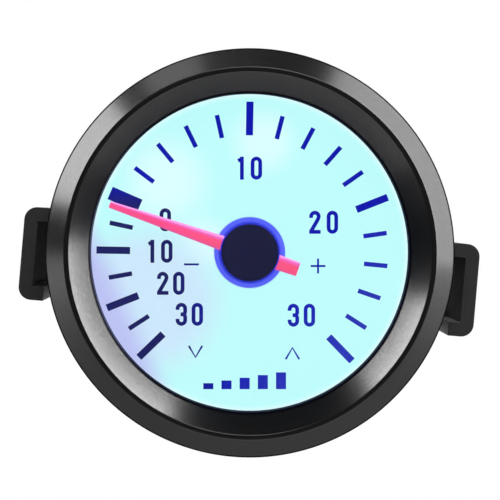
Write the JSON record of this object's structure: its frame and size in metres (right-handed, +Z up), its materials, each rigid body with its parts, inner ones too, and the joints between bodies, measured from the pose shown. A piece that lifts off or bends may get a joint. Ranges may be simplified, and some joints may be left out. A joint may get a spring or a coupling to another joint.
{
  "type": "boost gauge",
  "caption": "Round panel gauge for boost and vacuum with a lit dial, a geared pressure-tube movement, a hose nipple and a U-shaped mounting bracket.",
  "frame": {"origin": "on the gauge's axis, at the rear face of the bezel, where it seats on the panel", "axes": "+Y along the axis to the rear, -Y out of the dial towards the driver, +Z up"},
  "size_m": [0.0694, 0.065, 0.06],
  "materials": {
    "case_black": "fine moulded grain",
    "bezel_black": "satin",
    "lens_glass": "polished",
    "gasket_rubber": "matt",
    "spacer_blue": "matt",
    "dial_cyan": "lit from behind",
    "dial_ink": "printed",
    "light_ring_blue": "clear blue",
    "cup_white": "matt",
    "socket_plastic": "matt",
    "bulb_glass": "clear",
    "brass": "machined",
    "zinc_plate": "plated",
    "spring_steel": "blued",
    "steel": "ground",
    "pointer_pink": "fluorescent",
    "cap_navy": "satin",
    "bracket_black": "fine moulded grain"
  },
  "bodies": {
    "case": {"case_cup": "case_black", "bezel": "bezel_black", "lens": "lens_glass", "lens_gasket": "gasket_rubber", "spacer_ring": "spacer_blue", "dial_plate": "dial_cyan", "dial_scale": "dial_ink", "hub_light_ring": "light_ring_blue", "light_cup": "cup_white", "lamp_socket": "socket_plastic", "lamp_bulb": "bulb_glass", "lamp_contacts": "brass", "socket_block": "brass", "block_screws": "zinc_plate", "bourdon_tube": "brass", "hairspring": "spring_steel", "hairspring_stud": "brass", "base_plate": "brass", "top_plate": "brass", "pillars": "brass", "plate_screws": "steel", "base_screws": "steel", "case_studs": "zinc_plate", "stud_lock_nuts": "zinc_plate"},
    "pointer_shaft": {"pinion_arbor": "steel", "hairspring_collet": "brass", "pointer_bush": "brass", "pointer": "pointer_pink", "pointer_cap": "cap_navy"},
    "sector": {"sector_gear": "brass", "sector_arbor": "steel", "sector_pin": "steel"},
    "tube_end": {"tube_tip": "brass", "tip_pin": "steel"},
    "link": {"link": "brass"},
    "bracket": {"bracket": "bracket_black", "flat_washers": "zinc_plate", "lock_washers": "zinc_plate", "bracket_nuts": "zinc_plate"}
  },
  "joints": [
    {"name": "pointer_sweep", "type": "hinge", "parent": "case", "child": "pointer_shaft", "pos_m": [0, 0, 0], "axis": [0, -1, 0], "range_deg": [-205.94, 64.06], "deforming": ["hairspring"]},
    {"name": "sector_swing", "type": "hinge", "parent": "case", "child": "sector", "pos_m": [0.01184, 0, -0.00431], "axis": [0, -1, 0], "range_deg": [-10.8, 34.5]},
    {"name": "tube_end_swing", "type": "hinge", "parent": "case", "child": "tube_end", "pos_m": [-0.01404, 0, 0.00519], "axis": [0, -1, 0], "range_deg": [-1.5, 4.5], "deforming": ["bourdon_tube"]},
    {"name": "link_swing", "type": "hinge", "parent": "tube_end", "child": "link", "pos_m": [0.01566, 0, 0.00519], "axis": [0, -1, 0], "range_deg": [-4.5, 1.5]},
    {"name": "bracket_slide", "type": "slide", "parent": "case", "child": "bracket", "axis": [0, 1, 0], "range_m": [-0.0045, 0.005]}
  ],
  "couplings": [
    {"joint": "sector_swing", "follows": "pointer_sweep", "ratio": -0.16667},
    {"joint": "tube_end_swing", "follows": "pointer_sweep", "ratio": -0.02133},
    {"joint": "link_swing", "follows": "pointer_sweep", "ratio": 0.02133}
  ]
}
